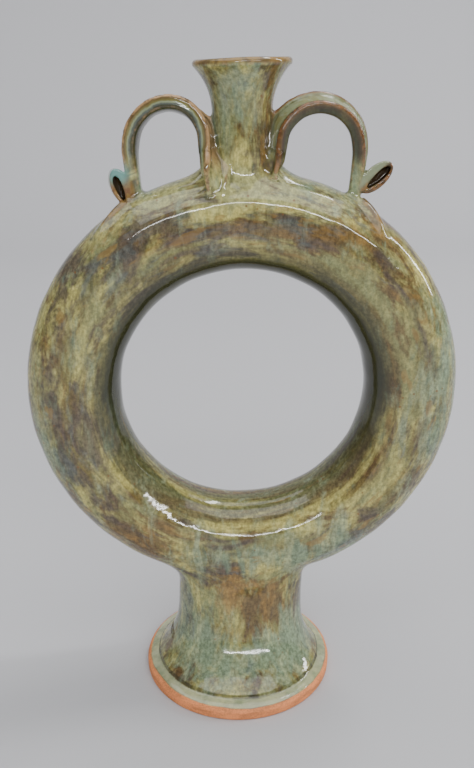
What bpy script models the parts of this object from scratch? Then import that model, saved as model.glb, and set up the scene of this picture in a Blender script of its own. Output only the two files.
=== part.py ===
# Ring jug: a hollow ring of stoneware on a flared foot, with a trumpet neck and two strap handles
# whose tails curl back into small open loops. It is thrown in parts, joined wet and fired as one piece.
# Metres, +Z up. The origin is on the floor under the ring's centre; the front faces -Y.
import bpy
import bmesh
from math import cos, pi, radians, sin, sqrt
from mathutils import Vector

# Ring: a thrown tube closed on itself, standing on edge.
RING_DIAMETER = 0.300
TUBE_RADIAL = 0.0640      # across the tube, from the centre hole to the outer edge
TUBE_DEPTH = 0.0560       # front to back
TUBE_SQUARENESS = 2.2     # 2 is a plain ellipse
RING_WALL = 0.0055

# Foot: round on the floor, pressed to an oval where it meets the ring.
FOOT_HEIGHT = 0.0806      # floor to the lowest point of the ring
FOOT_DIAMETER = 0.1428
FOOT_SHIFT = -0.0037      # the foot stands a little off the ring's centre line
FOOT_BAND = 0.0062        # height of the bare clay edge
FOOT_EDGE_ROUND = 0.0014  # small round where the edge meets the floor
FOOT_LEDGE = 0.0078       # width of the rolled rim band between the edge and the flare
FOOT_LEDGE_RISE = 0.0046  # how much higher the band is at the flare
FOOT_STEP = 0.0006        # shallow step between the band and the flare
WAIST_HEIGHT = 0.0620
WAIST_WIDTH = 0.0940
WAIST_DEPTH = 0.0680
FLARE_POWER = 2.6         # the higher, the later the foot spreads
FOOT_WALL = 0.0060
FOOT_FILLET_LEFT = 0.0120
FOOT_FILLET_RIGHT = 0.0060

# Neck: a slim trumpet on top of the ring.
NECK_HEIGHT = 0.0664      # top of the ring to the top of the lip
NECK_DIAMETER = 0.0376
NECK_WAIST = 0.0300       # height of the narrowest part above the ring
RIM_DIAMETER = 0.0612
NECK_WALL = 0.0046
LIP_HEIGHT = 0.0042
LIP_ROUND = 0.0019        # how far the lip's outer edge is rounded in
NECK_POWER = 2.5
NECK_SHIFT = -0.0012
NECK_LEAN = 1.7           # degrees, the left side of the rim is the lower one
NECK_FILLET = 0.0055      # spread of the neck's base, front and back
NECK_GUSSET = 0.0195      # further spread to each side, below the handles
GUSSET_RISE = 0.84        # height of that spread as a share of its reach

# Handles: straps from the side of the neck over to the shoulder of the ring.
STRAP_WIDTH = 0.0180
STRAP_THICKNESS = 0.0092
STRAP_GROOVE = 0.45       # share of the outer half's thickness that the thumb groove takes
LEFT_NEAR = 0.0216        # centre of the strap beside the neck
LEFT_FAR = 0.0716         # centre of the strap on its way down to the ring
LEFT_RISE = 0.0400        # top of the strap's centre line above the ring
RIGHT_NEAR = 0.0190
RIGHT_FAR = 0.0743
RIGHT_RISE = 0.0402
ARCH_DEPTH = 0.0275       # height of the round part of the arch
ARCH_TURN = 0.22          # how much of the forward draw is left where the arch begins
LEFT_DRAW = 0.0232        # how far forward the neck end is drawn down over the ring
RIGHT_DRAW = 0.0205
NEAR_TOE = 0.0056         # how far the neck end bends back in below the arch
FAR_TOE = 0.0028          # the same at the shoulder end

# Curls: the straps' tails, bent round into open loops.
CURL_WIDTH = 0.0130
CURL_THICKNESS = 0.0021
CURL_SWELL = 0.0044       # extra thickness where the loop leans on the strap
CURL_STANDOFF = 0.0012    # wall of the loop that stays clear of the strap's face
LEFT_CURL_LENGTH = 0.0165
LEFT_CURL_GAP = 0.0046
LEFT_CURL_TILT = 111.0    # degrees from +X to the loop's round end
LEFT_CURL_RISE = 0.0120   # centre of the loop above the ring
RIGHT_CURL_LENGTH = 0.0180
RIGHT_CURL_GAP = 0.0057
RIGHT_CURL_TILT = 41.0
RIGHT_CURL_RISE = 0.0225

# How finely the round forms are divided.
RING_STEPS = 80
TUBE_STEPS = 20
CAVITY_STEPS = 48
CAVITY_TUBE_STEPS = 12
FOOT_STEPS = 40
NECK_STEPS = 28
STRAP_STEPS = 22
STRAP_SIDES = 12
CURL_STEPS = 14

EMBED = 0.0030            # how far one form reaches into the next, so that they join

ring_radius = RING_DIAMETER / 2
tube_a = TUBE_RADIAL / 2
tube_b = TUBE_DEPTH / 2
ring_mid = ring_radius - tube_a
ring_z = FOOT_HEIGHT + ring_radius
ring_top = FOOT_HEIGHT + RING_DIAMETER


def clear_scene():
    for thing in list(bpy.data.objects):
        bpy.data.objects.remove(thing, do_unlink=True)


def glazed_stoneware():
    material = bpy.data.materials.new("glazed_stoneware")
    material.use_nodes = True
    shader = material.node_tree.nodes["Principled BSDF"]
    shader.inputs["Base Color"].default_value = (0.145, 0.150, 0.085, 1.0)
    shader.inputs["Roughness"].default_value = 0.16
    shader.inputs["Metallic"].default_value = 0.0
    return material


def new_object(name, rows, closed):
    """A loft through rows of equal length: a ring of rows when closed, else capped at both ends."""
    mesh = bpy.data.meshes.new(name)
    form = bmesh.new()
    loops = [[form.verts.new(point) for point in row] for row in rows]
    pairs = list(zip(loops, loops[1:]))
    if closed:
        pairs.append((loops[-1], loops[0]))
    for low, high in pairs:
        for i in range(len(low)):
            j = (i + 1) % len(low)
            form.faces.new((low[i], low[j], high[j], high[i]))
    if not closed:
        form.faces.new(loops[0])
        form.faces.new(loops[-1])
    bmesh.ops.recalc_face_normals(form, faces=form.faces)
    form.to_mesh(mesh)
    form.free()
    body = bpy.data.objects.new(name, mesh)
    bpy.context.collection.objects.link(body)
    return body


def as_guide(body):
    body.hide_render = True
    body.display_type = "WIRE"
    return body


def signed_power(value, power):
    return abs(value) ** power * (1 if value >= 0 else -1)


def smooth_step(t):
    t = min(1.0, max(0.0, t))
    return t * t * (3 - 2 * t)


# Ring

def tube(name, a, b, around, across):
    """A ring of superellipse section, a across the tube and b to the front and back."""
    rows = []
    for i in range(around):
        turn = 2 * pi * i / around
        row = []
        for k in range(across):
            angle = 2 * pi * (k + 0.5) / across
            reach = ring_mid + a * signed_power(cos(angle), 2 / TUBE_SQUARENESS)
            y = b * signed_power(sin(angle), 2 / TUBE_SQUARENESS)
            row.append((reach * sin(turn), y, ring_z + reach * cos(turn)))
        rows.append(row)
    return new_object(name, rows, closed=True)


def ring_outside(x, y=0.0):
    """Height above the ring's centre of its outer surface over the point x, y."""
    share = min(0.999, abs(y) / tube_b)
    reach = ring_mid + tube_a * (1 - share ** TUBE_SQUARENESS) ** (1 / TUBE_SQUARENESS)
    return sqrt(max(reach * reach - x * x, 0.0))


# Foot

def foot_centre(z):
    """The stem leans back from the foot's place to the ring's centre line."""
    return FOOT_SHIFT * max(0.0, 1 - z / (2 * WAIST_HEIGHT))


def oval(z, half_left, half_right, half_depth, squareness=2.0):
    row = []
    for i in range(FOOT_STEPS):
        angle = 2 * pi * i / FOOT_STEPS
        half = half_right if cos(angle) > 0 else half_left
        x = half * signed_power(cos(angle), 2 / squareness)
        y = half_depth * signed_power(sin(angle), 2 / squareness)
        row.append((foot_centre(z) + x, y, z))
    return row


def flare(z, base_z, base_half, waist_half):
    """Half size of the concave stem at height z, from the rim band up to the waist."""
    left_to_go = max(0.0, WAIST_HEIGHT - z) / (WAIST_HEIGHT - base_z)
    return waist_half + (base_half - waist_half) * left_to_go ** FLARE_POWER


def stem_depth(z):
    """Half depth of the stem above the waist, down to just inside the ring's own front."""
    top = ring_z - ring_mid
    share = smooth_step((z - WAIST_HEIGHT) / (top - WAIST_HEIGHT))
    return WAIST_DEPTH / 2 + (tube_b * 0.985 - WAIST_DEPTH / 2) * share


def foot_outside():
    edge = FOOT_DIAMETER / 2
    rows = []
    # bare edge with a small round at the floor, then the rolled rim band
    for z, half in ((0.0, edge - FOOT_EDGE_ROUND), (FOOT_EDGE_ROUND, edge), (FOOT_BAND * 0.8, edge)):
        rows.append(oval(z, half, half, half))
    for share in (0.1, 0.35, 0.7, 1.0):
        half = edge - FOOT_LEDGE * share
        rows.append(oval(FOOT_BAND + FOOT_LEDGE_RISE * sin(share * pi / 2), half, half, half))
    base = edge - FOOT_LEDGE - FOOT_STEP
    base_z = FOOT_BAND + FOOT_LEDGE_RISE + FOOT_STEP
    flare_rows = 8
    for k in range(flare_rows):
        z = base_z + (WAIST_HEIGHT - base_z) * (k / (flare_rows - 1)) ** 1.25
        wide = flare(z, base_z, base, WAIST_WIDTH / 2)
        deep = flare(z, base_z, base, WAIST_DEPTH / 2)
        rows.append(oval(z, wide, wide, deep))
    # straight above the waist, then spreading into the underside of the ring
    half = WAIST_WIDTH / 2
    meet = ring_z - ring_outside(half)
    top = ring_z - ring_mid
    for share in (0.5, 1.0):
        z = WAIST_HEIGHT + (meet - FOOT_FILLET_LEFT - WAIST_HEIGHT) * share
        rows.append(oval(z, half, half, stem_depth(z), 2 + 0.3 * share))
    for angle in (30, 50, 68):
        turn = radians(angle)
        z = meet - FOOT_FILLET_LEFT * (1 - sin(turn)) + EMBED * (angle > 60)
        left = half + FOOT_FILLET_LEFT * (1 - cos(turn))
        right = half + FOOT_FILLET_RIGHT * (1 - cos(turn))
        rows.append(oval(z, left, right, stem_depth(z), 2.4))
    middle = (meet + top) / 2
    rows.append(oval(middle, half, half, stem_depth(middle), 2.5))
    rows.append(oval(top, half * 0.85, half * 0.85, stem_depth(top), 2.5))
    return new_object("foot_form", rows, closed=False)


def foot_hollow():
    """The open underside, a wall inside the flare and closed above by the ring's own wall."""
    edge = FOOT_DIAMETER / 2 - FOOT_WALL * 1.25
    rows = [oval(-EMBED, edge + EMBED * 0.4, edge + EMBED * 0.4, edge + EMBED * 0.4)]
    base = FOOT_DIAMETER / 2 - FOOT_LEDGE
    base_z = FOOT_BAND + FOOT_LEDGE_RISE
    hollow_rows = 6
    for k in range(hollow_rows):
        z = WAIST_HEIGHT * (k / (hollow_rows - 1)) ** 1.2
        outer_z = max(z + FOOT_WALL * 0.6, base_z)
        wide = min(edge, flare(outer_z, base_z, base, WAIST_WIDTH / 2) - FOOT_WALL * 0.95)
        deep = min(edge, flare(outer_z, base_z, base, WAIST_DEPTH / 2) - FOOT_WALL * 0.95)
        if k == 0:
            wide, deep = edge, edge
        rows.append(oval(z, wide, wide, deep))
    top = FOOT_HEIGHT - FOOT_WALL * 0.6
    rows.append(oval(top, wide * 0.94, wide * 0.94, deep * 0.9))
    return new_object("foot_hollow", rows, closed=False)


# Neck

def neck_radius(height):
    """Outer radius at a height above the ring."""
    over = max(0.0, height - NECK_WAIST) / (NECK_HEIGHT - LIP_HEIGHT - NECK_WAIST)
    return NECK_DIAMETER / 2 + (RIM_DIAMETER - NECK_DIAMETER) / 2 * over ** NECK_POWER


def neck_circle(height, radius, steps):
    """A level circle low on the neck, tilted more and more towards the rim."""
    tilt = radians(NECK_LEAN) * smooth_step(height / NECK_HEIGHT)
    row = []
    for i in range(steps):
        angle = 2 * pi * i / steps
        x = radius * cos(angle)
        row.append((NECK_SHIFT + x * cos(tilt), radius * sin(angle), ring_top + height + x * sin(tilt)))
    return row


def neck_skirt(share):
    """The spread of the neck's base, from upright at share 0 to lying on the ring at share 1."""
    row = []
    for i in range(NECK_STEPS):
        angle = 2 * pi * i / NECK_STEPS
        side = abs(cos(angle)) ** 6
        spread = NECK_FILLET + NECK_GUSSET * side
        rise = NECK_FILLET + (NECK_GUSSET * GUSSET_RISE) * side
        turn = share * pi / 2
        out = NECK_DIAMETER / 2 + spread * (1 - cos(turn)) ** (1 - 0.55 * side)
        x = NECK_SHIFT + out * cos(angle)
        y = out * sin(angle)
        ground = ring_z + ring_outside(x, y)
        row.append((x, y, ground - EMBED * 0.2 * share + rise * (1 - sin(turn))))
    return row


def neck_outside():
    half = NECK_DIAMETER / 2
    buried = [(NECK_SHIFT + half * 0.8 * cos(2 * pi * i / NECK_STEPS),
               half * 0.8 * sin(2 * pi * i / NECK_STEPS), ring_top - 0.020) for i in range(NECK_STEPS)]
    rows = [buried]
    for share in (1.0, 0.78, 0.55, 0.35, 0.18):
        rows.append(neck_skirt(share))
    flare_top = NECK_HEIGHT - LIP_HEIGHT
    first = NECK_FILLET + NECK_GUSSET * GUSSET_RISE
    for k in range(8):
        height = first + (flare_top - first) * (k / 7) ** 0.8
        rows.append(neck_circle(height, neck_radius(height), NECK_STEPS))
    rim = RIM_DIAMETER / 2
    for lift, share in ((0.25, -0.1), (0.65, 0.0), (0.9, 0.42), (1.0, 1.0)):
        rows.append(neck_circle(flare_top + LIP_HEIGHT * lift, rim - LIP_ROUND * share, NECK_STEPS))
    return new_object("neck_form", rows, closed=False)


def neck_bore():
    rows = [neck_circle(-RING_WALL * 2.5, NECK_DIAMETER / 2 - NECK_WALL, NECK_STEPS)]
    flare_top = NECK_HEIGHT - LIP_HEIGHT
    for k in range(7):
        height = flare_top * (0.35 + 0.65 * k / 6)
        rows.append(neck_circle(height, neck_radius(height) - NECK_WALL, NECK_STEPS))
    # the lip is rounded on the inside too
    inside = RIM_DIAMETER / 2 - NECK_WALL
    rows.append(neck_circle(NECK_HEIGHT - LIP_ROUND / 2, inside + NECK_WALL * 0.35, NECK_STEPS))
    rows.append(neck_circle(NECK_HEIGHT + EMBED, inside + NECK_WALL * 0.7, NECK_STEPS))
    return new_object("neck_bore", rows, closed=False)


# Handles

def strap_section(width, thickness):
    """Points u across and v outwards: a lens with a bead at each edge of its outer, grooved face."""
    points = []
    for k in range(STRAP_SIDES):
        angle = 2 * pi * k / STRAP_SIDES
        u = width / 2 * signed_power(cos(angle), 0.85)
        v = thickness / 2 * signed_power(sin(angle), 0.8)
        if v > 0:
            v *= 1 - STRAP_GROOVE * max(0.0, 1 - 2 * abs(u) / (width * 0.7))
        points.append((u, v))
    return points


def curve_point(points, t):
    """A point on the smooth curve through all the points, t from 0 to 1."""
    spans = len(points) - 1
    place = min(t * spans, spans - 1e-6)
    i = int(place)
    f = place - i
    p0 = points[max(i - 1, 0)]
    p1, p2 = points[i], points[i + 1]
    p3 = points[min(i + 2, spans)]
    return 0.5 * (2 * p1 + (p2 - p0) * f + (2 * p0 - 5 * p1 + 4 * p2 - p3) * f ** 2
                  + (3 * p1 - p0 - 3 * p2 + p3) * f ** 3)


def strap_path(side, near, far, rise, draw):
    """From the ring's front shoulder up beside the neck, over the arch and down to the ring."""
    middle = (near + far) / 2
    half = (far - near) / 2
    spring = ring_top + rise - ARCH_DEPTH
    end = near - NEAR_TOE
    bend = near - NEAR_TOE * 0.8
    points = [
        Vector((end, -draw, ring_z + ring_outside(end, draw) - EMBED * 0.9)),
        Vector((bend, -draw * 0.88, ring_z + ring_outside(near, draw * 0.88))),
        Vector((near - NEAR_TOE * 0.36, -draw * 0.66, ring_top + NECK_FILLET)),
    ]
    for angle in range(0, 181, 30):
        turn = radians(angle)
        points.append(Vector((middle - half * cos(turn), -draw * ARCH_TURN * (1 + cos(turn)),
                              spring + ARCH_DEPTH * sin(turn))))
    root = far - FAR_TOE
    ground = ring_z + ring_outside(root)
    points.append(Vector((far - FAR_TOE * 0.3, 0.0, (spring + ground) / 2)))
    points.append(Vector((root, 0.0, ground - EMBED)))
    return [Vector((side * p.x, p.y, p.z)) for p in points]


def strap(name, side, near, far, rise, draw, twists):
    """twists: degrees at five even steps along the strap; positive turns the outer face forward."""
    points = strap_path(side, near, far, rise, draw)
    rows = []
    for i in range(STRAP_STEPS + 1):
        t = i / STRAP_STEPS
        here = curve_point(points, t)
        along = (curve_point(points, min(t + 0.01, 1)) - curve_point(points, max(t - 0.01, 0))).normalized()
        back = Vector((0, 1, 0))
        across = (back - along * back.dot(along)).normalized()
        outward = along.cross(across) * side
        span = min(int(t * 4), 3)
        turn = radians(twists[span] + (twists[span + 1] - twists[span]) * smooth_step(t * 4 - span))
        u_axis = across * cos(turn) + outward * sin(turn)
        v_axis = outward * cos(turn) - across * sin(turn)
        flat = 1 - 0.72 * (1 - smooth_step(t / 0.18)) - 0.12 * smooth_step((t - 0.8) / 0.2)
        narrow = 1 - 0.25 * smooth_step((t - 0.75) / 0.2)
        section = strap_section(STRAP_WIDTH * narrow, STRAP_THICKNESS * flat)
        rows.append([here + u_axis * u + v_axis * v for u, v in section])
    return new_object(name, rows, closed=False)


def curl(name, centre, length, gap, tilt, leaning):
    """An open loop round a long gap; leaning is the side, in degrees from the round end, that is thick."""
    turn = radians(tilt)
    along = Vector((cos(turn), 0, sin(turn)))
    aside = Vector((-sin(turn), 0, cos(turn)))
    rows = []
    for i in range(CURL_STEPS):
        angle = 2 * pi * i / CURL_STEPS
        narrow = 0.55 + 0.45 * smooth_step((cos(angle) + 1) / 1.3)
        inner = centre + along * (length / 2 * cos(angle)) + aside * (gap / 2 * narrow * sin(angle))
        out = (along * (cos(angle) * gap) + aside * (sin(angle) * length)).normalized()
        swell = smooth_step((cos(angle - radians(leaning)) + 0.15) / 1.15)
        thick = CURL_THICKNESS + CURL_SWELL * swell
        deep = CURL_WIDTH / 2
        row = []
        for u, v in ((-1, 0.15), (-0.85, 0), (0.85, 0), (1, 0.15), (0.95, 0.85), (0.75, 1), (-0.75, 1), (-0.95, 0.85)):
            row.append(inner + Vector((0, u * deep, 0)) + out * (v * thick))
        rows.append(row)
    return new_object(name, rows, closed=True)


def join(body, other, operation):
    modifier = body.modifiers.new(other.name, "BOOLEAN")
    modifier.operation = operation
    modifier.solver = "EXACT"
    modifier.object = as_guide(other)


def build_jug():
    jug = tube("ring_jug", tube_a, tube_b, RING_STEPS, TUBE_STEPS)
    join(jug, foot_outside(), "UNION")
    join(jug, neck_outside(), "UNION")
    join(jug, strap("left_strap", -1, LEFT_NEAR, LEFT_FAR, LEFT_RISE, LEFT_DRAW, (80, 34, -10, -10, 0)), "UNION")
    join(jug, strap("right_strap", 1, RIGHT_NEAR, RIGHT_FAR, RIGHT_RISE, RIGHT_DRAW, (76, 34, 22, 18, 14)), "UNION")
    beside = LEFT_FAR + STRAP_THICKNESS / 2 + LEFT_CURL_GAP / 2 + CURL_STANDOFF
    middle = Vector((-beside, 0, ring_z + ring_outside(beside) + LEFT_CURL_RISE))
    join(jug, curl("left_curl", middle, LEFT_CURL_LENGTH, LEFT_CURL_GAP, LEFT_CURL_TILT, -70), "UNION")
    reach = RIGHT_CURL_LENGTH / 2 * cos(radians(RIGHT_CURL_TILT))
    beside = RIGHT_FAR + STRAP_THICKNESS / 2 + reach + CURL_STANDOFF
    middle = Vector((beside, 0, ring_z + ring_outside(beside) + RIGHT_CURL_RISE))
    join(jug, curl("right_curl", middle, RIGHT_CURL_LENGTH, RIGHT_CURL_GAP, RIGHT_CURL_TILT, 135), "UNION")
    join(jug, tube("ring_cavity", tube_a - RING_WALL, tube_b - RING_WALL, CAVITY_STEPS,
                   CAVITY_TUBE_STEPS), "DIFFERENCE")
    join(jug, neck_bore(), "DIFFERENCE")
    join(jug, foot_hollow(), "DIFFERENCE")
    jug.data.materials.append(glazed_stoneware())
    jug.data.shade_smooth()
    jug.data.set_sharp_from_angle(angle=radians(35))
    return jug


clear_scene()
build_jug()
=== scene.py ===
# Ring jug: the melted, glazed skin of a thrown ring on a foot, with a neck and two strap handles.
from math import cos, pi, radians, sin

import bmesh
import bpy
import numpy as np
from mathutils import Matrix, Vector


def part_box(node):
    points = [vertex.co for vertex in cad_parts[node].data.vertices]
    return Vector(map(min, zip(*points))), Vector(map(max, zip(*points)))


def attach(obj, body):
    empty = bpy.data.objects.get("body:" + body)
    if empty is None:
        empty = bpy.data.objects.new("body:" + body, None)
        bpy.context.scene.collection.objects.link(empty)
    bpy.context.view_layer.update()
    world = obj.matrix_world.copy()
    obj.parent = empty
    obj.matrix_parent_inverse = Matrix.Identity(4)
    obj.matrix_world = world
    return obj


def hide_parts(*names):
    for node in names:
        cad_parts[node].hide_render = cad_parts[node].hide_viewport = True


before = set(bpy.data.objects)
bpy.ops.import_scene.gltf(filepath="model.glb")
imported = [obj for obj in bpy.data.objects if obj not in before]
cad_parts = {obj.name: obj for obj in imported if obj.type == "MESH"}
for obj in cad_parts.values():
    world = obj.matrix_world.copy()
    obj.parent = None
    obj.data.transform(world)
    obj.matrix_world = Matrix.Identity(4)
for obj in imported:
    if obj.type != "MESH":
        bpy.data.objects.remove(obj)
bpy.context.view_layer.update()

jugLow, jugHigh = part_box("ring_jug")

# Sizes in metres, angles in degrees. The ring's radius and the foot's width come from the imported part.
ring = {
    "radius": (jugHigh.x - jugLow.x) / 2,
    "middle": 0.1500,          # height of the centre over the ring's lowest point
    "across": 0.0640,          # from the centre hole to the outer edge
    "depth": 0.0560,
    "squareness": 2.25,        # 2 is a plain ellipse
    "wall": 0.0055,
    "lift": 0.0806,            # floor to the ring's lowest point
    "shoulderRidge": 0.0007,   # soft ridge round the front and back faces, near the outer edge
    "shoulderAngle": 61,       # round the tube, from its outer edge
    "shoulderSpread": 7.5,
    "innerRidge": 0.0009,
    "innerAngle": 110,
    "innerSpread": 8,
}
foot = {
    "width": jugHigh.y - jugLow.y,
    "shift": -0.0037,
    "band": 0.0062,            # bare clay edge
    "ledge": 0.0078,           # rolled band above it
    "ledgeRise": 0.0050,
    "rollPower": 1.7,
    "groove": 0.0008,
    "grooveRise": 0.0004,
    "grooveReach": 0.0011,
    "waistHeight": 0.0620,
    "waistWidth": 0.0940,
    "waistDepth": 0.0680,
    "flarePower": 2.6,
    "topDepth": 0.78,          # of the ring's, where the stem ends inside the ring
    "squaring": 0.4,           # what the oval's power gains over the next rise above the waist
    "squaringRise": 0.030,
    "wall": 0.0060,
    "edgeWalls": 1.25,         # walls at the standing edge, up the sides and under the roof
    "sideWalls": 0.95,
    "roofWalls": 0.6,
    "roofRound": 0.0060,
    "mouthRise": 0.010,        # the hollow's straight mouth
    "meltLeft": 0.0150,
    "meltRight": 0.0090,
}
neck = {
    "height": 0.0664,
    "width": 0.0376,
    "waist": 0.0300,
    "rim": 0.0612,
    "wall": 0.0046,
    "flarePower": 2.5,
    "shift": -0.0012,
    "lean": 1.7,
    "lipHeight": 0.0042,       # straight part under the rim
    "lipRoll": 0.0006,
    "lipDrop": 0.0024,
    "lipReach": 0.0020,
    "lipRound": 0.0024,
    "root": 0.020,             # how far the neck reaches down into the ring, and its bore below
    "boreRoot": 2.5 * ring["wall"],
    "meltFront": 0.0070,
    "meltSide": 0.0230,
    "meltPower": 6,            # how closely the wide fillet keeps to the sides
}
strap = {
    "width": 0.0180,
    "thickness": 0.0092,
    "bead": 0.0021,            # radius of the bead along each outer edge
    "groove": 0.0013,
    "archDepth": 0.0275,
    "archTurn": 0.22,
    "farToe": 0.0028,
    "farEase": 0.3,            # share of that toe by which the strap's end draws in before it lands
    "farRoot": 0.003,          # how far it goes into the ring
    "melt": 0.0042,
    "squareness": 3.2,
    "coreInset": 0.0003,
    "beadMelt": 0.0012,
    "nearThin": 0.72,          # shares of the thickness and the width that the strap's ends lose,
    "nearThinTo": 0.18,        # and where along the strap they do
    "nearNarrowTo": 0.16,
    "farThin": 0.12,
    "farThinFrom": 0.80,
    "farNarrow": 0.25,
    "farNarrowFrom": 0.75,
    "farFade": 0.20,
    "left": {"side": -1, "near": 0.0216, "far": 0.0716, "rise": 0.0400, "draw": 0.0232,
             "twist": (82, 34, -10, -10, 0), "narrow": 0.62,
             "toes": [(0.0180, -0.0226, -0.0125), (0.0184, -0.0212, -0.0040), (0.0200, -0.0162, 0.0045)]},
    "right": {"side": 1, "near": 0.0187, "far": 0.0743, "rise": 0.0402, "draw": 0.0205,
              "twist": (60, 37, 22, 18, 14), "narrow": 0.70,
              "toes": [(0.0140, -0.0124, -0.0020), (0.0156, -0.0124, 0.0035), (0.0174, -0.0108, 0.0085)]},
}
curl = {
    "width": 0.0130,
    "thickness": 0.0019,
    "swell": 0.0034,           # extra thickness where the loop leans on the strap
    "corner": 0.0009,
    "standoff": 0.0012,
    "melt": 0.0018,
    "closing": 0.0046,         # clay that closes each curl's hollow from behind
    "floorRound": 0.0016,
    "rimRound": 0.0013,
    "egg": 0.24,               # how much narrower the opening is at one end
    "roughGap": 0.9,
    "roughThrough": 0.003,     # the rough opening starts this far in front
    "reach": 0.022,            # nothing of a curl lies further from its middle
    "left": {"length": 0.0165, "gap": 0.0060, "tilt": 111, "rise": 0.0120, "leaning": -70, "skew": 0.20},
    "right": {"length": 0.0190, "gap": 0.0068, "tilt": 43, "rise": 0.0225, "leaning": 135, "skew": -0.18},
}
tail = {                       # ridges that run on from the straps over the ring's shoulder
    "radius": 0.0036,
    "standoff": 0.0010,
    "melt": 0.0050,
    "leanPower": 1.4,
    "sink": 1.25,              # depth of its end, in radii
    "sinkLead": 0.8,           # how far before its start it begins to sink, in its own lengths
    "taper": 0.55,
    "left": {"turns": (-30.2, -40.0), "leans": (10, 35)},   # round the ring, and forward round the tube
    "right": {"turns": (30.6, 38.5), "leans": (8, 47)},
}
skin = {
    "voxel": 0.00332,          # grain of the mesh on the ring
    "fineness": 3.0,           # how much finer it is at the handles
    "fineFrom": 0.318,
    "fineTo": 0.366,
    "footFineness": 2.0,       # and at the foot's edge
    "footFrom": 0.016,
    "footTo": 0.034,
    "settleRounds": 10,        # pulls of the mesh onto the form
    "settleStep": 0.0009,      # longest pull in a round
    "unevenness": 0.00030,     # of the thrown walls
    "evenBelow": 0.012,        # no unevenness at the foot's edge
    "evenFade": 0.020,
    "sideFade": 0.020,         # half the width over which left turns into right
    "neckZone": 0.045,         # the neck's say starts this far under the ring's top
    "footZone": 0.095,         # and the foot's hollow has none above this height
    "edgeRound": 0.0022,
    "standRound": 0.0016,
}

ringMid = ring["radius"] - ring["across"] / 2
ringZ = ring["lift"] + ring["middle"]
ringTop = ring["lift"] + 2 * ring["middle"]


# Plain shaping tools. A form is a function of points that is below 0 inside it.

def softStep(t):
    t = np.clip(t, 0.0, 1.0)
    return t * t * (3 - 2 * t)


def melt(a, b, spread):
    # two forms flow together
    share = np.clip(0.5 + 0.5 * (b - a) / spread, 0.0, 1.0)
    return b * (1 - share) + a * share - spread * share * (1 - share)


def carve(a, b, spread):
    # b is cut out of a, with a rounded edge
    return -melt(-a, b, spread)


def evened(form, points, step=0.00004):
    # a form scaled so that it measures metres near its surface
    here = form(points)
    slope = np.zeros(len(points))
    for axis in range(3):
        beside = points.copy()
        beside[:, axis] += step
        slope += ((form(beside) - here) / step) ** 2
    return here / np.maximum(np.sqrt(slope), 1e-3)


def ovalDistance(u, v, halfU, halfV, squareness):
    a = np.abs(u) / halfU
    b = np.abs(v) / halfV
    n = np.maximum((a ** squareness + b ** squareness) ** (1 / squareness), 0.05)
    slopeU = (a / n) ** (squareness - 1) / halfU
    slopeV = (b / n) ** (squareness - 1) / halfV
    return (n - 1) / np.hypot(slopeU, slopeV)


# Ring

def ringForm(points):
    x, y, z = points.T
    out = np.hypot(x, z - ringZ) - ringMid
    body = ovalDistance(out, y, ring["across"] / 2, ring["depth"] / 2, ring["squareness"])
    around = np.degrees(np.arctan2(np.abs(y) / ring["depth"], out / ring["across"]))
    for key in ("shoulder", "inner"):
        body -= ring[key + "Ridge"] * np.exp(-((around - ring[key + "Angle"]) / ring[key + "Spread"]) ** 2)
    return body


def ringOutside(x, y=0.0):
    # height above the ring's centre of its outer surface over x, y
    share = min(0.999, abs(y) / (ring["depth"] / 2))
    q = ring["squareness"]
    reach = ringMid + ring["across"] / 2 * (1 - share ** q) ** (1 / q)
    return max(reach * reach - x * x, 0.0) ** 0.5


def onRing(turn, lean):
    # a point on the ring: turn from the top towards +X, lean from the outer edge towards the front
    q = 2 / ring["squareness"]
    out = ringMid + ring["across"] / 2 * abs(cos(radians(lean))) ** q
    y = -ring["depth"] / 2 * abs(sin(radians(lean))) ** q
    return Vector((out * sin(radians(turn)), y, ringZ + out * cos(radians(turn))))


# Foot

def footCentre(z):
    return foot["shift"] * np.maximum(0.0, 1 - z / (2 * foot["waistHeight"]))


def footHalf(z, waistHalf, inset=0.0):
    # half size at height z: bare band, rolled ledge, groove, then the flare up to the waist
    edge = foot["width"] / 2
    ledgeTop = foot["band"] + foot["ledgeRise"]
    base = edge - foot["ledge"]
    toGo = np.clip((foot["waistHeight"] - z) / (foot["waistHeight"] - ledgeTop), 0.0, 1.0)
    flare = waistHalf + (base - waistHalf) * toGo ** foot["flarePower"]
    overBand = np.clip((z - foot["band"]) / foot["ledgeRise"], 0.0, 1.0)
    roll = edge - foot["ledge"] * overBand ** foot["rollPower"]
    groove = foot["groove"] * np.exp(-((z - ledgeTop - foot["grooveRise"]) / foot["grooveReach"]) ** 2)
    return np.where(z < ledgeTop, roll, flare) - groove - inset


def stemDepth(z):
    top = ringZ - ringMid
    share = softStep((z - foot["waistHeight"]) / (top - foot["waistHeight"]))
    waist = foot["waistDepth"] / 2
    return waist + (ring["depth"] / 2 * foot["topDepth"] - waist) * share


def footForm(points):
    x, y, z = points.T
    squareness = 2 + foot["squaring"] * softStep((z - foot["waistHeight"]) / foot["squaringRise"])
    wide = footHalf(z, foot["waistWidth"] / 2)
    deep = footHalf(z, stemDepth(z))
    n = (np.abs(x - footCentre(z)) / wide) ** squareness + (np.abs(y) / deep) ** squareness
    return (n ** (1 / squareness) - 1) * np.minimum(wide, deep)


def footSolid(points):
    z = points[:, 2]
    body = evened(footForm, points)
    return np.maximum(body, z - (ringZ - ringMid))


mouthHalf = foot["width"] / 2 - foot["wall"] * foot["edgeWalls"]
hollowRoof = ring["lift"] - foot["wall"] * foot["roofWalls"]


def hollowHalf(z, waistHalf):
    lifted = np.maximum(z + foot["wall"] * foot["roofWalls"], foot["band"] + foot["ledgeRise"])
    return np.minimum(mouthHalf, footHalf(lifted, waistHalf, foot["wall"] * foot["sideWalls"]))


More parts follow.
